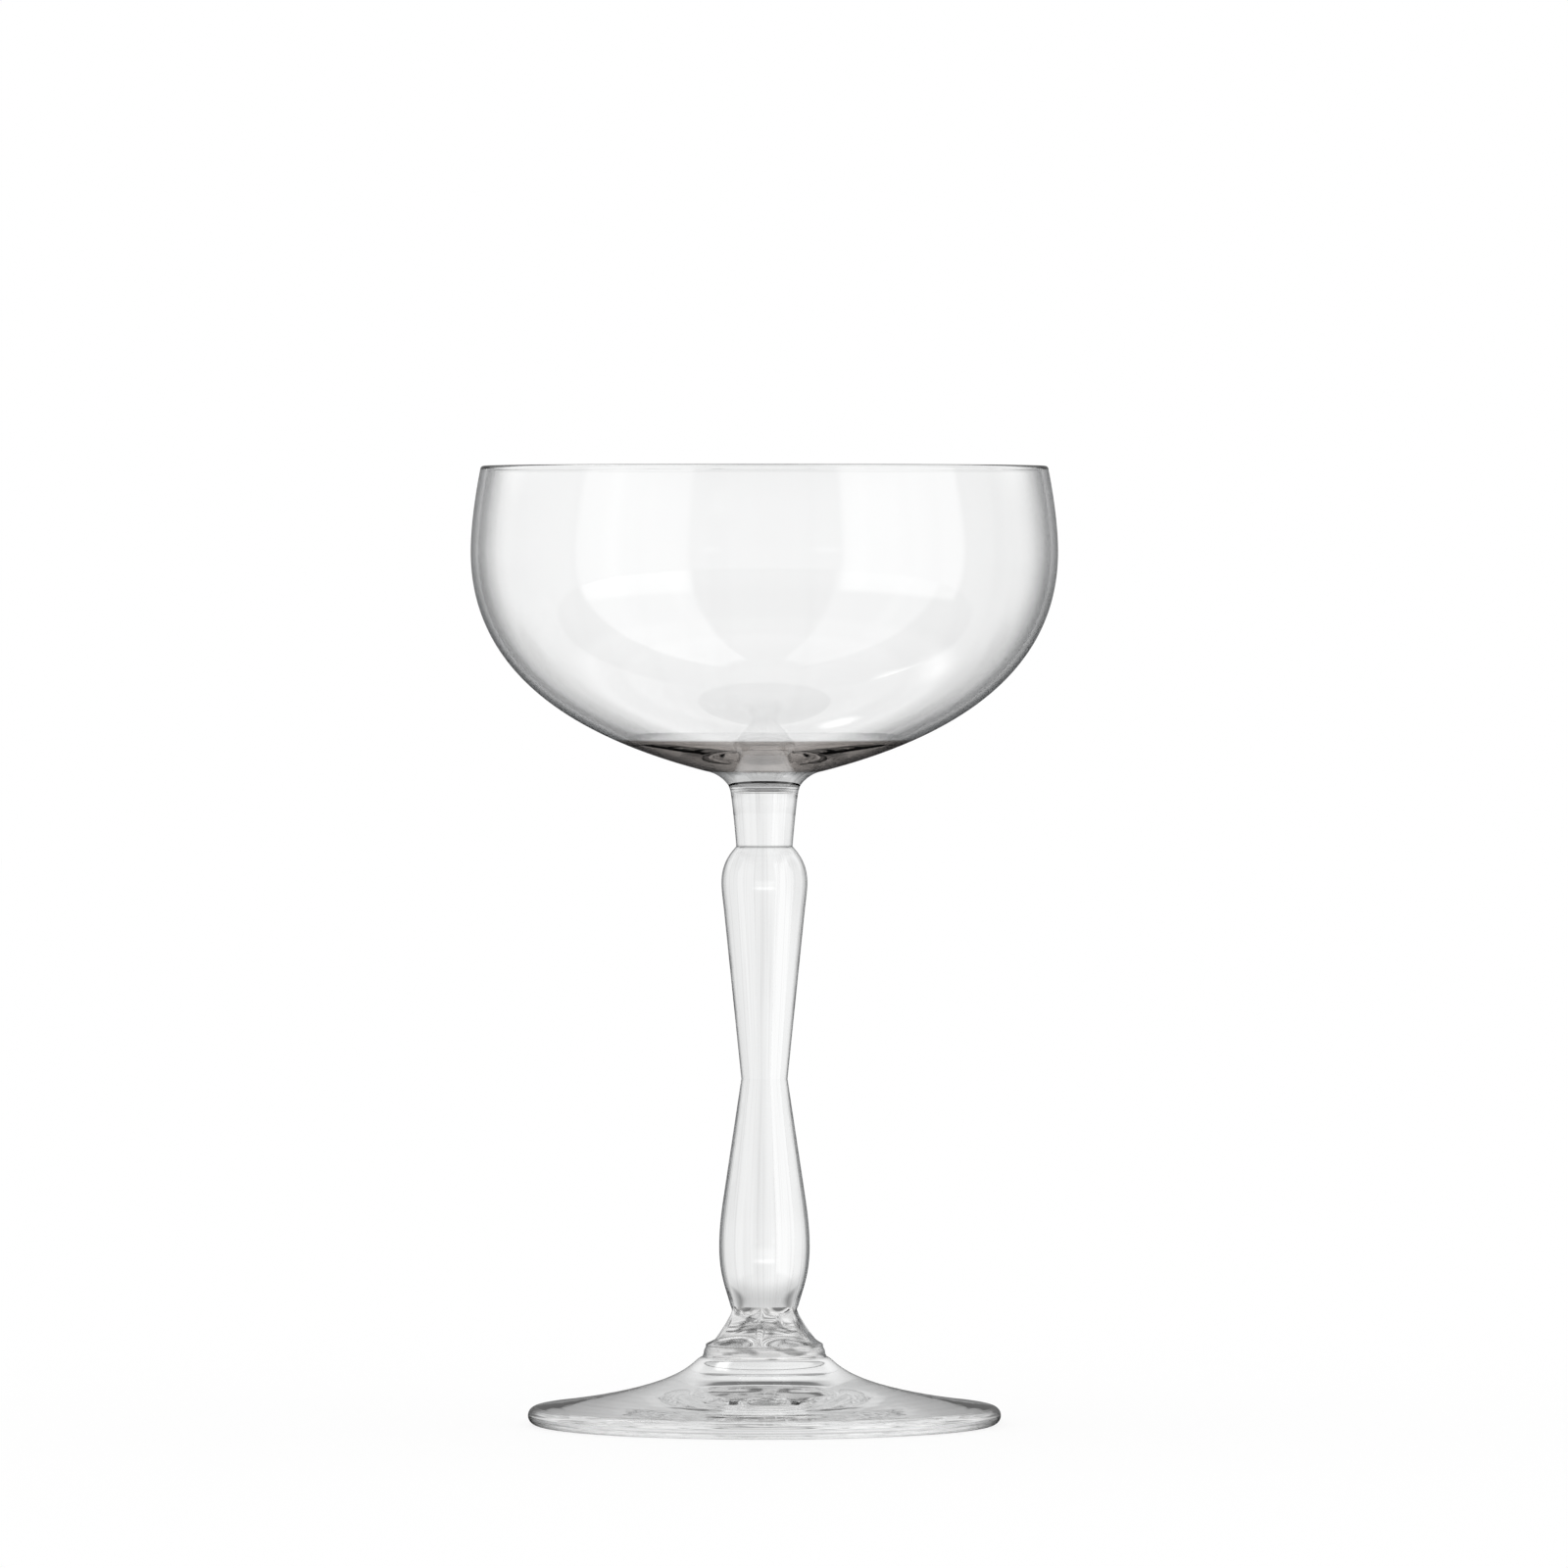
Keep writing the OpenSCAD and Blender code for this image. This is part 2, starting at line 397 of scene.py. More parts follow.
def streaks_group():
    """Height of the streaks and rings that drawing and turning leave, which on skirt and ring also make
    lines of painted shade: noise stretched one way.

    The noise is read at Around times the unit vector away from the axis, and upwards at Along times
    the height and Across times the distance from the axis."""
    found = bpy.data.node_groups.get("glass_streaks")
    if found:
        return found
    group = bpy.data.node_groups.new("glass_streaks", "ShaderNodeTree")
    sockets_in(group, STREAK_INPUTS)
    group.interface.new_socket("Height", in_out="OUTPUT", socket_type="NodeSocketFloat")
    nodes, links = group.nodes, group.links
    given = nodes.new("NodeGroupInput").outputs
    split = nodes.new("ShaderNodeSeparateXYZ")
    links.new(nodes.new("ShaderNodeTexCoord").outputs["Object"], split.inputs[0])
    outward = nodes.new("ShaderNodeCombineXYZ")
    links.new(split.outputs["X"], outward.inputs["X"])
    links.new(split.outputs["Y"], outward.inputs["Y"])

    def vector(kind, *values):
        """A Vector Math node on sockets."""
        node = nodes.new("ShaderNodeVectorMath")
        node.operation = kind
        for value, socket in zip(values, node.inputs):
            links.new(value, socket)
        return node

    scaled = vector("SCALE", vector("NORMALIZE", outward.outputs[0]).outputs[0])
    links.new(given["Around"], scaled.inputs["Scale"])
    far = vector("LENGTH", outward.outputs[0]).outputs["Value"]
    upward = nodes.new("ShaderNodeCombineXYZ")
    along = sums(nodes, links, "MULTIPLY", split.outputs["Z"], given["Along"])
    across = sums(nodes, links, "MULTIPLY", far, given["Across"])
    links.new(sums(nodes, links, "ADD", along, across), upward.inputs["Z"])
    noise = nodes.new("ShaderNodeTexNoise")
    noise.inputs["Scale"].default_value = 1.0
    links.new(given["Detail"], noise.inputs["Detail"])
    links.new(given["Warp"], noise.inputs["Distortion"])
    links.new(vector("ADD", scaled.outputs[0], upward.outputs[0]).outputs[0], noise.inputs["Vector"])
    links.new(noise.outputs[0], nodes.new("NodeGroupOutput").inputs[0])
    return group


# The four finishes. From edge_from to edge_to, on a scale from 0 (seen square on) to 1 (seen edge on),
# the tint turns to the edge tint, a painted shade for the dark edges, broken up by the streaks. Lines is how
# dark the streaks are, depth how deep. In the lower part, from change_h above its low end down, the turn is
# steeper by gain, about pivot, so the painted shade on the edges comes on more steeply near the bottom.
GLASSES = {
    "blown_clear": {
        "tint": "thin_tint", "edge": "thin_edge_shade", "edge_from": 0.54, "edge_to": 0.92,
        "change_h": 0.022, "pivot": 0.82, "gain": 1.2,
        "break_up": 0.06, "lines": 0.012, "depth": 6.0e-6,
        "Around": 9.0, "Along": 8.0, "Across": 0.0, "Detail": 1.5, "Warp": 0.4,
    },
    "drawn_clear": {
        "tint": "thick_tint", "edge": "thick_edge_shade", "edge_from": 0.46, "edge_to": 0.86,
        "change_h": 0.006, "pivot": 0.3, "gain": 0.3,
        "break_up": 0.4, "lines": 0.14, "depth": 6.0e-6,
        "Around": 22.0, "Along": 30.0, "Across": 0.0, "Detail": 1.5, "Warp": 0.0,
    },
    # Skirt and ring: the grey tint and the dark lines across them are painted shade for their dark bands
    "pressed_clear": {
        "tint": "pressed_shade_tint", "edge": "thick_edge_shade", "edge_from": 0.20, "edge_to": 0.85,
        "break_up": 0.3, "lines": 0.8,
        "Around": 3.0, "Along": 900.0, "Across": 0.0, "Detail": 0.5, "Warp": 0.0,
    },
    "turned_clear": {
        "tint": "thick_tint", "edge": "thick_edge_shade", "edge_from": 0.80, "edge_to": 1.0,
        "break_up": 0.0, "lines": 0.12,
        "Around": 0.5, "Along": 0.0, "Across": 500.0, "Detail": 1.0, "Warp": 0.0,
    },
}
# The streaks' heights between which a dark line rises
LINE_FROM, LINE_TO = 0.5, 0.7
# How far from square on the painted shade on the bowl's solid base sets in, and how high its upper limit is
SLANT_FROM, SLANT_TO = 0.2, 0.5
BASE_LIMIT_H = 0.0004


def low_end_z(kind):
    """Height of the low end of the part in which a finish changes."""
    if kind == "blown_clear":
        return base_z("bowl") + bpy.context.scene.coupe_sizes.floor_t
    return base_z("upper_baluster") - GLASSES["drawn_clear"]["change_h"]


def edge_shade_mask(nodes, links, kind, facing, streaks):
    """A mask for the painted shade on the edges: it rises from 0 where the glass is seen square on to 1
    where it is seen edge on.
    """
    own = GLASSES[kind]
    uneven = sums(nodes, links, "SUBTRACT", streaks, 0.5)
    uneven = sums(nodes, links, "MULTIPLY", uneven, own["break_up"])
    if "gain" in own:
        low = low_end_z(kind)
        lower = sums(nodes, links, "MULTIPLY", below(nodes, links, low + own["change_h"], low), own["gain"])
        past = sums(nodes, links, "SUBTRACT", facing, own["pivot"])
        uneven = sums(nodes, links, "ADD", uneven, sums(nodes, links, "MULTIPLY", lower, past))
    value = sums(nodes, links, "ADD", facing, uneven)
    return ramp(nodes, links, value, own["edge_from"], own["edge_to"])


def glass_colour(nodes, links, kind, facing, streaks, edge):
    """The colour of one finish: its tint, the edge tint that is mostly painted shade, the dark lines of the
    streaks, and the painted shade on the bowl's base and at the seam.
    """
    look, own = bpy.context.scene.coupe_look, GLASSES[kind]
    tint = nodes.new("ShaderNodeMix")
    tint.data_type = "RGBA"
    links.new(edge, tint.inputs["Factor"])
    tint.inputs["A"].default_value = (*getattr(look, own["tint"]), 1.0)
    tint.inputs["B"].default_value = (*getattr(look, own["edge"]), 1.0)
    lines = ramp(nodes, links, streaks, LINE_FROM, LINE_TO)
    colour = shaded(nodes, links, tint.outputs["Result"], lines, (1.0 - own["lines"],) * 3)
    # Painted shade on the solid bottom of the bowl, where it is seen at a slant
    if kind == "blown_clear":
        floor_z = low_end_z(kind)
        solid = below(nodes, links, floor_z, floor_z - BASE_LIMIT_H)
        slant_shade_mask = ramp(nodes, links, facing, SLANT_FROM, SLANT_TO)
        colour = shaded(nodes, links, colour, sums(nodes, links, "MULTIPLY", solid, slant_shade_mask), look.base_painted_shade)
    # A thin line of painted shade in the crease between the neck and the shoulder
    if kind == "drawn_clear":
        neck_z, half = base_z("stem_neck"), look.seam_h / 2
        above = below(nodes, links, neck_z + half, neck_z)
        seam = sums(nodes, links, "SUBTRACT", above, below(nodes, links, neck_z, neck_z - half))
        colour = shaded(nodes, links, colour, seam, look.seam_shade_tint)
    return colour


def named_glass(kind):
    """Clear glass of one finish, made the first time it is asked for.

    Its colour turns to the edge tint where the surface is seen edge on: partly because light then runs a
    long way through the wall, mostly as painted shade for the dark edges. Shadow rays pass nearly untouched,
    which leaves the shadow pale."""
    found = bpy.data.materials.get(kind)
    if found:
        return found
    look, own = bpy.context.scene.coupe_look, GLASSES[kind]
    m = bpy.data.materials.new(kind)
    m.use_nodes = True
    nodes, links = m.node_tree.nodes, m.node_tree.links
    glass = nodes["Principled BSDF"]
    glass.inputs["Roughness"].default_value = 0.0
    glass.inputs["IOR"].default_value = look.index
    glass.inputs["Transmission Weight"].default_value = 1.0

    streaks = nodes.new("ShaderNodeGroup")
    streaks.node_tree = streaks_group()
    for name in STREAK_INPUTS:
        streaks.inputs[name].default_value = own[name]
    weight = nodes.new("ShaderNodeLayerWeight")
    weight.inputs["Blend"].default_value = 0.5
    facing = weight.outputs["Facing"]
    # The edge tint: painted shade where the glass is seen edge on
    edge = edge_shade_mask(nodes, links, kind, facing, streaks.outputs[0])
    colour = glass_colour(nodes, links, kind, facing, streaks.outputs[0], edge)
    links.new(colour, glass.inputs["Base Color"])
    if "depth" in own:
        bump = nodes.new("ShaderNodeBump")
        bump.inputs["Distance"].default_value = own["depth"]
        links.new(sums(nodes, links, "SUBTRACT", 1.0, edge), bump.inputs["Strength"])
        links.new(streaks.outputs[0], bump.inputs["Height"])
        links.new(bump.outputs[0], glass.inputs["Normal"])

    clear = nodes.new("ShaderNodeBsdfTransparent")
    clear.inputs["Color"].default_value = (*look.shadow_tint, 1.0)
    mix = nodes.new("ShaderNodeMixShader")
    links.new(nodes.new("ShaderNodeLightPath").outputs["Is Shadow Ray"], mix.inputs[0])
    links.new(glass.outputs[0], mix.inputs[1])
    links.new(clear.outputs[0], mix.inputs[2])
    links.new(mix.outputs[0], nodes["Material Output"].inputs["Surface"])
    return m


# The sections

# Steps round the axis
AROUND = 288
SKIRT_AROUND = 720
# The curves: the handle at each end, as shares of the box between the ends, and the steps along them
CURVES = {
    "rim": ((0.05, 0.03), (0.0, 0.43), 30),
    "bowl": ((0.0, 0.49), (0.655, 0.18), 110),
    "collar": ((0.5, 0.1), (0.02, 0.3), 40),
    "neck": ((0.26, 0.0), (0.0, 0.05), 26),
    "skirt": ((0.2, 0.48), (0.0, 0.05), 80),
    "ring": ((0.3, 0.3), (0.3, 0.3), 48),
    "foot_top": ((0.08, 0.09), (0.94, 0.4), 150),
    "foot_hollow": ((0.35, 0.6), (0.5, 0.0), 130),
}
# The two curves that run into a straight taper: the handle at the far end, the reach of the other, the steps
SWELLS = {"shoulder": ((1.694, 0.334), 0.391, 100), "belly": ((1.085, 0.256), 0.608, 100)}
TAPER_STEPS = 40
RIM_STEPS = 16
FOOT_EDGE_STEPS = 24
# Rings of the bowl's flat floor, as shares of its radius, close together at the corner to keep it sharp
FLOOR_SHARES = (0.1, 0.5, 0.9, 0.98, 0.995)
# The least half width of a rib, as a phase, where it runs out at the skirt's ends
RIB_LEAST = 1.0e-6
# The innermost ring under the foot, as a share of the radius of the hollow
POLE_SHARE = 1 / 200


class COUPE_OT_bowl(bpy.types.Operator):
    """Builds the bowl"""

    bl_idname = "coupe.bowl"
    bl_label = "Bowl"

    def execute(self, context):
        s = context.scene.coupe_sizes
        seat_z, rim_z = base_z("bowl"), top_z("bowl")
        bowl_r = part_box("bowl")[1][0]
        lip_r = s.bowl_wall / 2
        lip = np.array([s.rim_d / 2 - lip_r, rim_z - lip_r])
        wide_out = np.array([bowl_r, rim_z - s.rim_rise])
        floor_z = seat_z + s.floor_t
        # The outside is two curves that meet at the widest place, and the inside is set in by the wall.
        # The outline runs out along the floor, up the inside, over the rounded rim and down the outside
        outer = chain(
            bend(lip + [lip_r, 0.0], wide_out, *CURVES["rim"]),
            bend(wide_out, [s.bowl_seat_d / 2, seat_z], *CURVES["bowl"]),
        )
        inner = down_to(inside(outer, s.bowl_wall)[1:], floor_z)
        flat = np.array(FLOOR_SHARES)[:, None] * [inner[-1, 0], 0.0] + [0.0, floor_z]
        rim = arc(lip, lip_r, 180.0, 0.0, RIM_STEPS)
        r, z = swept(np.vstack([flat, crisp(inner[::-1]), rim, crisp(outer)[1:]]), AROUND)
        mesh = glass_mesh("bowl_blown", r, z, False, True)
        place("bowl_blown", mesh, "bowl", named_glass("blown_clear"))
        return {"FINISHED"}


class COUPE_OT_stem(bpy.types.Operator):
    """Builds the collar, the neck and the two balusters"""

    bl_idname = "coupe.stem"
    bl_label = "Stem"

    def execute(self, context):
        s = context.scene.coupe_sizes
        seat, throat = [s.bowl_seat_d / 2, top_z("bowl_collar")], [s.neck_top_d / 2, base_z("bowl_collar")]
        neck, waist = [s.neck_low_d / 2, base_z("stem_neck")], [s.waist_d / 2, base_z("upper_baluster")]
        shoulder = [s.shoulder_d / 2, base_z("stem_neck") - s.shoulder_h]
        knop = [s.skirt_top_d / 2, base_z("lower_baluster")]
        belly = [s.belly_d / 2, base_z("lower_baluster") + s.belly_h]
        # Each outline runs down the outside: one curve, or for a baluster a curve and a straight taper
        outlines = {
            "bowl_collar": bend(seat, throat, *CURVES["collar"]),
            "stem_neck": bend(throat, neck, *CURVES["neck"]),
            "upper_baluster": chain(
                follow(neck, shoulder, waist, *SWELLS["shoulder"]), line(shoulder, waist, TAPER_STEPS)),
            "lower_baluster": chain(
                line(waist, belly, TAPER_STEPS), follow(knop, belly, waist, *SWELLS["belly"])[::-1]),
        }
        for node, outline in outlines.items():
            # The crease between the neck and the shoulder is the only soft one
            outline = crisp(outline, node != "upper_baluster", node != "stem_neck")
            r, z = swept(outline, AROUND)
            mesh = glass_mesh(node + "_glass", r, z, True, True)
            place(node + "_glass", mesh, node, named_glass("drawn_clear"))
        return {"FINISHED"}


class COUPE_OT_skirt(bpy.types.Operator):
    """Builds the fluted skirt"""

    bl_idname = "coupe.skirt"
    bl_label = "Fluted skirt"

    def execute(self, context):
        s = context.scene.coupe_sizes
        top, base = top_z("fluted_skirt"), base_z("fluted_skirt")
        outline = bend([s.skirt_top_d / 2, top], [s.skirt_d / 2, base], *CURVES["skirt"])
        r, z = swept(crisp(outline), SKIRT_AROUND)
        # The radius falls by the flutes' depth times the sine of the phase, which goes from 0 on a ridge
        # to a quarter turn in the middle of a flute. A second sine lets the flutes run out at both ends.
        # On the ridge stands a rounded rib instead, half an ellipse, widest at the middle of the height
        t = (top - z) / (top - base)
        deepens = np.sin(np.pi / 2 * np.minimum(1.0, np.minimum(t, 1.0 - t) / s.flute_end))
        phase = s.flute_count * (angles(SKIRT_AROUND) - s.ridge_turn) / 2
        off = np.abs((phase + np.pi / 2) % np.pi - np.pi / 2)[None, :]
        rib = np.maximum(s.flute_count * s.rib_turn / 2 * np.sin(np.pi * np.clip(t, 0.0, 1.0)), RIB_LEAST)
        crown = np.sin(rib) * (1.0 - np.sqrt(np.maximum(1.0 - (off / rib) ** 2, 0.0)))
        hollow = np.where(off < rib, crown, np.sin(off))
        mesh = glass_mesh("fluted_skirt_glass", r * (1.0 - s.flute_depth * deepens * hollow), z, True, True)
        place("fluted_skirt_glass", mesh, "fluted_skirt", named_glass("pressed_clear"))
        return {"FINISHED"}


class COUPE_OT_ring(bpy.types.Operator):
    """Builds the ring between the skirt and the foot"""

    bl_idname = "coupe.ring"
    bl_label = "Ring"

    def execute(self, context):
        s = context.scene.coupe_sizes
        top, base = top_z("ring_collar"), base_z("ring_collar")
        outline = bend([s.skirt_d / 2, top], [s.ring_d / 2, base], *CURVES["ring"])
        # The grooves take their depth times a squared sine off the radius, half a turn for each groove
        share = np.linspace(0.0, 1.0, len(outline))
        outline[:, 0] -= s.reed_depth * np.sin(np.pi * s.reed_count * share) ** 2
        r, z = swept(crisp(outline), AROUND)
        mesh = glass_mesh("ring_collar_glass", r, z, True, True)
        place("ring_collar_glass", mesh, "ring_collar", named_glass("pressed_clear"))
        return {"FINISHED"}


class COUPE_OT_foot(bpy.types.Operator):
    """Builds the foot"""

    bl_idname = "coupe.foot"
    bl_label = "Foot"

    def execute(self, context):
        s = context.scene.coupe_sizes
        edge_r = s.foot_edge_t / 2
        edge = np.array([s.foot_d / 2 - edge_r, edge_r])
        rest_in = edge[0] - s.rest_w
        # The outline runs down the top, round the edge, along the band that it rests on and up the hollow
        outline = chain(
            bend([s.ring_d / 2, top_z("foot")], edge + [0.0, edge_r], *CURVES["foot_top"]),
            arc(edge, edge_r, 90.0, -90.0, FOOT_EDGE_STEPS),
            np.array([[edge[0], 0.0], [rest_in, 0.0]]),
            bend([rest_in, 0.0], [rest_in * POLE_SHARE, s.hollow_h], *CURVES["foot_hollow"]),
        )
        # The marks lower the top by a cosine wave of the radius, faded out at both ends
        r, z = swept(outline, AROUND)
        turned = fade(r, s.turning_from, s.turning_to, s.turning_fade)
        marks = np.where(z > s.foot_edge_t, np.cos(2 * np.pi * r / s.turning_w) - 1.0, 0.0)
        mesh = glass_mesh("foot_pressed", r, z + s.turning_h * turned * marks, True, False)
        place("foot_pressed", mesh, "foot", named_glass("turned_clear"))
        return {"FINISHED"}


# The studio


def panel(centre, half, soft, low, high, blur, level):
    """One soft panel, in degrees: its middle, half width and side softness, its lower and upper edge and
    their softness, and its level of light."""
    return {
        "Centre": centre, "Half": half, "Soft": soft,
        "Low": low, "High": high, "Blur": blur, "Level": level,
    }


# The tent as it is seen through the glass, and as the glass mirrors it: its level and its panels
THROUGH_LEVEL = 0.88
THROUGH = {
    "roof": panel(0, 360, 1, 50, 120, 8, -0.6),
    "back_high": panel(0, 40, 20, 14, 50, 5, -0.3),
    "back_slot": panel(0, 45, 15, 18, 26, 1.5, -0.4),
    "back_middle": panel(0, 8.5, 4.5, -2.5, 2.5, 1.5, 0.07),
    "horizon_band": panel(0, 8.5, 4.5, 1.1, 2.4, 0.5, 0.12),
    "left_half": panel(-32, 30, 6, -45, 12, 5, 0.08),
    "left_side": panel(-85, 24, 9, -70, 70, 10, -0.15),
    "right_side": panel(80, 20, 9, -70, 70, 10, -0.1),
    "front_low": panel(180, 60, 10, -80, -20, 6, -0.4),
    "below": panel(0, 360, 1, -120, -62, 6, -0.2),
    "table_slot": panel(0, 360, 1, -55, -46, 2, -0.45),
}
MIRRORED_LEVEL = 0.20
MIRRORED = {
    "low_back": panel(0, 80, 20, -38, -3, 4, -0.19),
    "table": panel(0, 360, 1, -120, -44, 5, 1.2),
    "left_window": panel(-125.5, 24.5, 2, -23, 80, 2, 1.0),
    "right_window": panel(122, 27, 2, -22, 80, 2, 1.5),
    "left_window_streak": panel(-118, 3, 3, -23, 45, 2, 0.35),
    "right_window_streak": panel(142, 3, 3, -22, 45, 2, 0.4),
    "left_lamp": panel(-159, 3, 3, 0, 2, 1.5, 0.8),
    "right_lamp": panel(156, 5, 4, 0, 2, 1.5, 0.8),
    "left_high_card": panel(-46, 9, 5, 47, 59, 3, 4.0),
    "left_back_card": panel(-42, 20, 10, 12, 34, 5, 1.0),
    "right_back_card": panel(42, 20, 10, 12, 34, 5, 0.9),
    "spot_card": panel(18, 4, 3, -55, -51, 2, 2.5),
    "right_card": panel(62, 12, 8, -50, -42, 5, 1.3),
}
TURN_INPUTS = ("Turn", "Height", "Centre", "Half", "Soft", "Low", "High", "Blur", "Level")


def soft_panel_group():
    """Brightness of one soft-edged panel of the studio, seen in the direction of a turn and a height."""
    group = bpy.data.node_groups.new("soft_panel", "ShaderNodeTree")
    sockets_in(group, TURN_INPUTS)
    group.interface.new_socket("Light", in_out="OUTPUT", socket_type="NodeSocketFloat")
    nodes, links = group.nodes, group.links
    given = nodes.new("NodeGroupInput").outputs

    def edge(value, at, soft, rising):
        """Rises or falls smoothly where the value passes a place."""
        near = sums(nodes, links, "SUBTRACT", at, soft)
        far = sums(nodes, links, "ADD", at, soft)
        return ramp(nodes, links, value, near, far) if rising else ramp(nodes, links, value, far, near)

    away = sums(nodes, links, "ABSOLUTE", sums(nodes, links, "SUBTRACT", given["Turn"], given["Centre"]))
    away = sums(nodes, links, "MINIMUM", away, sums(nodes, links, "SUBTRACT", 360.0, away))
    light = sums(nodes, links, "MULTIPLY", given["Level"], edge(away, given["Half"], given["Soft"], False))
    light = sums(nodes, links, "MULTIPLY", light, edge(given["Height"], given["Low"], given["Blur"], True))
    light = sums(nodes, links, "MULTIPLY", light, edge(given["Height"], given["High"], given["Blur"], False))
    links.new(light, nodes.new("NodeGroupOutput").inputs[0])
    return group


def studio_world():
    """White all round for the camera, and a tent of soft panels for the glass.

    A panel's turn counts in degrees from straight behind the glass, positive to the right, and
    its height from the horizon. The lights of all the panels are added to the tent's level."""
    world = bpy.data.worlds.new("studio")
    bpy.context.scene.world = world
    world.use_nodes = True
    nodes, links = world.node_tree.nodes, world.node_tree.links
    back = nodes["Background"]
    back.inputs["Color"].default_value = (1.0, 1.0, 1.0, 1.0)
    split = nodes.new("ShaderNodeSeparateXYZ")
    links.new(nodes.new("ShaderNodeTexCoord").outputs["Generated"], split.inputs[0])
    x, y, z = split.outputs
    turn = sums(nodes, links, "MULTIPLY", sums(nodes, links, "ARCTAN2", x, y), math.degrees(1.0))
    height = sums(nodes, links, "MULTIPLY", sums(nodes, links, "ARCSINE", z), math.degrees(1.0))

    group = soft_panel_group()

    def tent(level, panels):
        """Light of the tent with its panels."""
        for name, values in panels.items():
            node = nodes.new("ShaderNodeGroup")
            node.node_tree, node.name, node.label = group, name, name
            links.new(turn, node.inputs["Turn"])
            links.new(height, node.inputs["Height"])
            for key, value in values.items():
                node.inputs[key].default_value = value
            level = sums(nodes, links, "ADD", level, node.outputs["Light"])
        return sums(nodes, links, "MAXIMUM", level, 0.0)

    def where(mask, otherwise, light):
        """The light where the mask is 1, and otherwise what was there."""
        mix = nodes.new("ShaderNodeMix")
        mix.data_type = "FLOAT"
        links.new(mask, mix.inputs["Factor"])
        feed(links, otherwise, mix.inputs["A"])
        links.new(light, mix.inputs["B"])
        return mix.outputs["Result"]

    path = nodes.new("ShaderNodeLightPath").outputs
    mirrored = sums(nodes, links, "MULTIPLY", path["Is Reflection Ray"], path["Is Glossy Ray"])
    level = where(path["Is Transmission Ray"], 1.0, tent(THROUGH_LEVEL, THROUGH))
    level = where(mirrored, level, tent(MIRRORED_LEVEL, MIRRORED))
    links.new(level, back.inputs["Strength"])


def floor_material(lamp_share):
    """White floor: part of its white is lit, so that it keeps shadows, and the rest glows for the camera."""
    m = bpy.data.materials.new("studio_floor")
    m.use_nodes = True
    nodes, links = m.node_tree.nodes, m.node_tree.links
    paint = nodes["Principled BSDF"]
    paint.inputs["Base Color"].default_value = (lamp_share, lamp_share, lamp_share, 1.0)
    paint.inputs["Roughness"].default_value = 1.0
    paint.inputs["Specular IOR Level"].default_value = 0.0
    paint.inputs["Emission Color"].default_value = (1.0, 1.0, 1.0, 1.0)
    seen = nodes.new("ShaderNodeLightPath").outputs["Is Camera Ray"]
    glow = sums(nodes, links, "MULTIPLY", seen, 1.0 - lamp_share)
    links.new(glow, paint.inputs["Emission Strength"])
    return m


# How far the floor lies below the foot, so that the two don't touch
FLOOR_DROP = 0.00002
SENSOR_MM = 36.0
CLIP_END = 20.0
# How often light may bend and bounce in the glass
BOUNCES = {
    "max_bounces": 32, "transmission_bounces": 32, "glossy_bounces": 16, "transparent_max_bounces": 64,
}


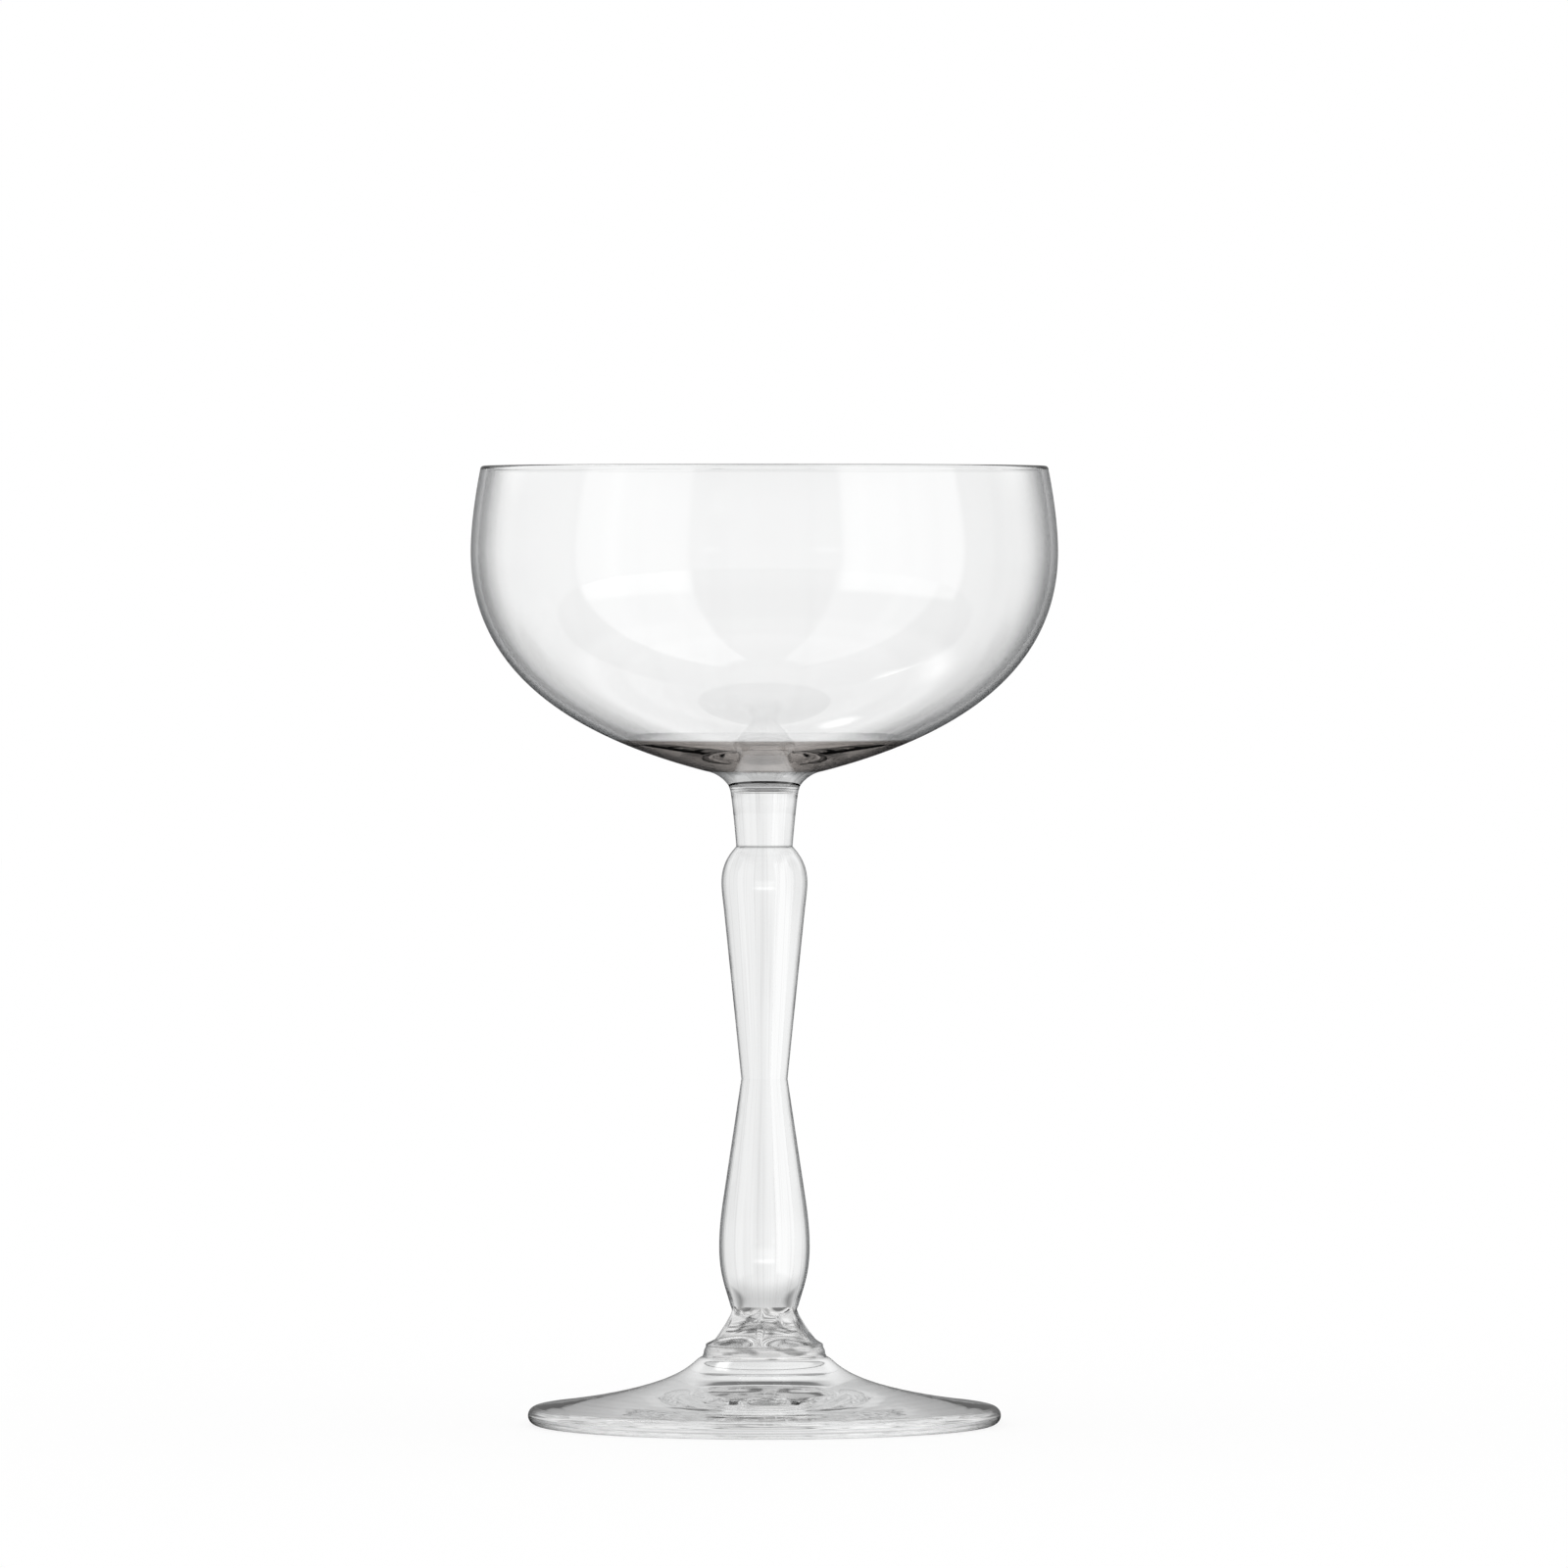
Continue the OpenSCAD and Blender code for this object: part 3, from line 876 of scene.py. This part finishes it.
class COUPE_OT_studio(bpy.types.Operator):
    """Builds the floor, the light and the camera"""

    bl_idname = "coupe.studio"
    bl_label = "Studio"

    def execute(self, context):
        scene, look = context.scene, context.scene.coupe_studio
        mesh = bpy.data.meshes.new("studio_floor")
        half = look.floor_w / 2
        corners = ((-half, -half), (half, -half), (half, half), (-half, half))
        mesh.from_pydata([(x, y, -FLOOR_DROP) for x, y in corners], [], [(0, 1, 2, 3)])
        floor = bpy.data.objects.new("studio_floor", mesh)
        scene.collection.objects.link(floor)
        mesh.materials.append(floor_material(look.floor_light))
        # The glass looks past the floor into the lower half of the tent
        floor.visible_glossy = False
        floor.visible_transmission = False
        studio_world()

        # Camera: the frame's width at the glass follows from the bowl's width in pixels
        scale = (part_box("bowl")[1][0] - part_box("bowl")[0][0]) / BOWL_PX
        away = look.camera_away
        lens = bpy.data.cameras.new("camera")
        lens.sensor_width = SENSOR_MM
        lens.lens = SENSOR_MM * away / (FRAME_PX * scale)
        lens.clip_end = CLIP_END
        camera = bpy.data.objects.new("camera", lens)
        scene.collection.objects.link(camera)
        eye = (0.0, -away, (FLOOR_PX - HORIZON_PX) * scale)
        aim = ((FRAME_PX / 2 - AXIS_PX) * scale, 0.0, (FLOOR_PX - FRAME_PX / 2) * scale)
        camera.location = eye
        turn = math.atan2(aim[0] - eye[0], away)
        tilt = math.atan2(aim[2] - eye[2], math.hypot(aim[0] - eye[0], away))
        camera.rotation_euler = (math.pi / 2 + tilt, 0.0, -turn)
        scene.camera = camera

        scene.view_settings.view_transform = "Standard"
        for name, value in BOUNCES.items():
            setattr(scene.cycles, name, value)
        return {"FINISHED"}


class COUPE_PT_panel(bpy.types.Panel):
    """Lists the sizes, the look and the builders"""

    bl_idname = "COUPE_PT_panel"
    bl_label = "Coupe glass"
    bl_space_type = "VIEW_3D"
    bl_region_type = "UI"
    bl_category = "Coupe"

    def draw(self, context):
        for kind in OPERATORS:
            self.layout.operator(kind.bl_idname)
        for group in GROUPS:
            values = getattr(context.scene, group)
            box = self.layout.box()
            for name in values.__annotations__:
                box.prop(values, name)


GROUPS = {"coupe_sizes": GlassSizes, "coupe_look": GlassLook, "coupe_studio": StudioLook}
OPERATORS = (COUPE_OT_bowl, COUPE_OT_stem, COUPE_OT_skirt, COUPE_OT_ring, COUPE_OT_foot, COUPE_OT_studio)


def register():
    """Registers the classes and hangs the property groups on the scene."""
    for kind in (*GROUPS.values(), *OPERATORS, COUPE_PT_panel):
        bpy.utils.register_class(kind)
    for name, kind in GROUPS.items():
        setattr(bpy.types.Scene, name, bpy.props.PointerProperty(type=kind))


def unregister():
    """Takes away what register() added."""
    for name in GROUPS:
        delattr(bpy.types.Scene, name)
    for kind in reversed((*GROUPS.values(), *OPERATORS, COUPE_PT_panel)):
        bpy.utils.unregister_class(kind)


def main():
    """Builds every section and the studio."""
    register()
    bpy.ops.coupe.bowl()
    bpy.ops.coupe.stem()
    bpy.ops.coupe.skirt()
    bpy.ops.coupe.ring()
    bpy.ops.coupe.foot()
    bpy.ops.coupe.studio()


if __name__ == "__main__":
    main()
